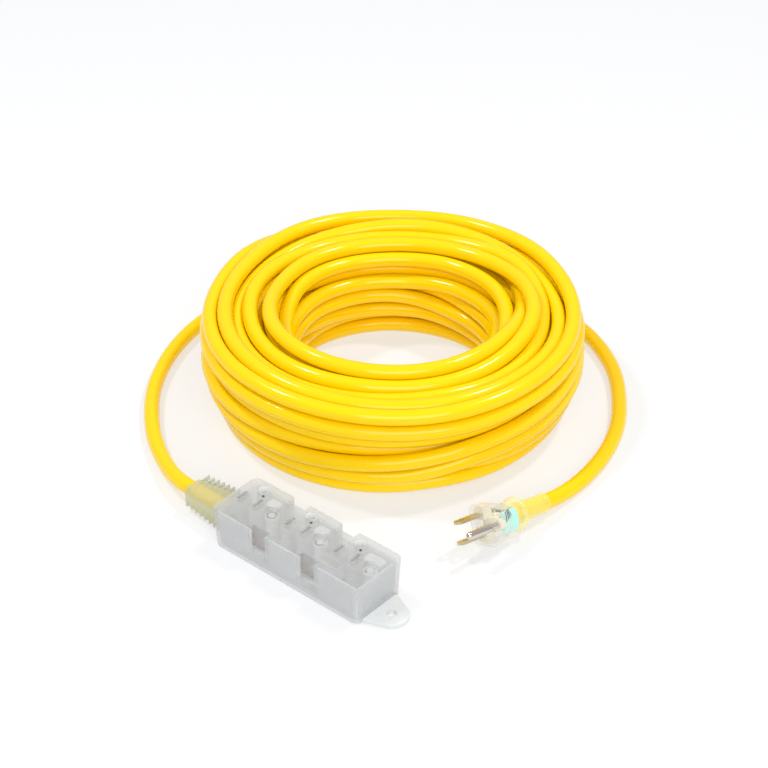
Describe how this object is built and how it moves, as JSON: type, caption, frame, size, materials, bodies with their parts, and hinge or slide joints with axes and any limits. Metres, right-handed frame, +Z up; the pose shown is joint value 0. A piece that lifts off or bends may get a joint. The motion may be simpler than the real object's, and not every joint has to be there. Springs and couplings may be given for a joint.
{
  "type": "extension cord",
  "caption": "Coiled heavy-duty extension cord with a clear grounded plug and its power light at one end, and a clear outlet block with a ribbed boot and a mounting tab at the other.",
  "frame": {"origin": "bottom centre of the outlet block with its cable boot and tab, on the floor", "axes": "+X along the block from the cable boot to the mounting tab, +Y across the block towards the coil, +Z up"},
  "size_m": [0.3215, 0.3398, 0.0699],
  "materials": {
    "clear_cover": "frosted clear PVC, moulded",
    "clear_base": "frosted clear PVC, moulded",
    "clear_carrier": "clear PVC inner moulding",
    "clear_boot": "soft clear PVC, ribbed",
    "clear_plug": "clear polished PVC",
    "cable_jacket": "yellow PVC jacket, semi-gloss",
    "copper": "pressed copper strip",
    "contact_brass": "pressed brass",
    "blade_brass": "polished solid brass",
    "pin_nickel": "nickel plated pin",
    "ivory_core": "ivory moulded plastic",
    "tinted_lens": "mint tinted clear PVC",
    "lamp_glass": "neon lamp glass",
    "resistor_body": "lacquered resistor",
    "core_black": "black insulation",
    "core_white": "white insulation",
    "core_green": "green insulation"
  },
  "bodies": {
    "root": {"outlet_cover": "clear_cover", "mounting_base": "clear_base", "contact_carrier": "clear_carrier", "hot_bus": "copper", "neutral_bus": "copper", "ground_bus": "contact_brass", "bus_crimps": "contact_brass", "block_hot_lead": "core_black", "block_neutral_lead": "core_white", "block_ground_lead": "core_green", "block_lamp": "lamp_glass", "block_resistor": "resistor_body", "block_jacket_end": "cable_jacket", "block_strain_relief": "clear_boot", "cord_block_run": "cable_jacket", "cord_coil": "cable_jacket", "cord_plug_run": "cable_jacket", "plug_body": "clear_plug", "plug_core": "ivory_core", "hot_blade": "blade_brass", "neutral_blade": "blade_brass", "ground_pin": "pin_nickel", "plug_lens": "tinted_lens", "plug_lamp": "lamp_glass", "plug_resistor": "resistor_body", "plug_crimps": "contact_brass", "plug_hot_lead": "core_black", "plug_neutral_lead": "core_white", "plug_ground_lead": "core_green", "plug_jacket_end": "cable_jacket", "plug_sleeve": "clear_boot"}
  },
  "joints": []
}
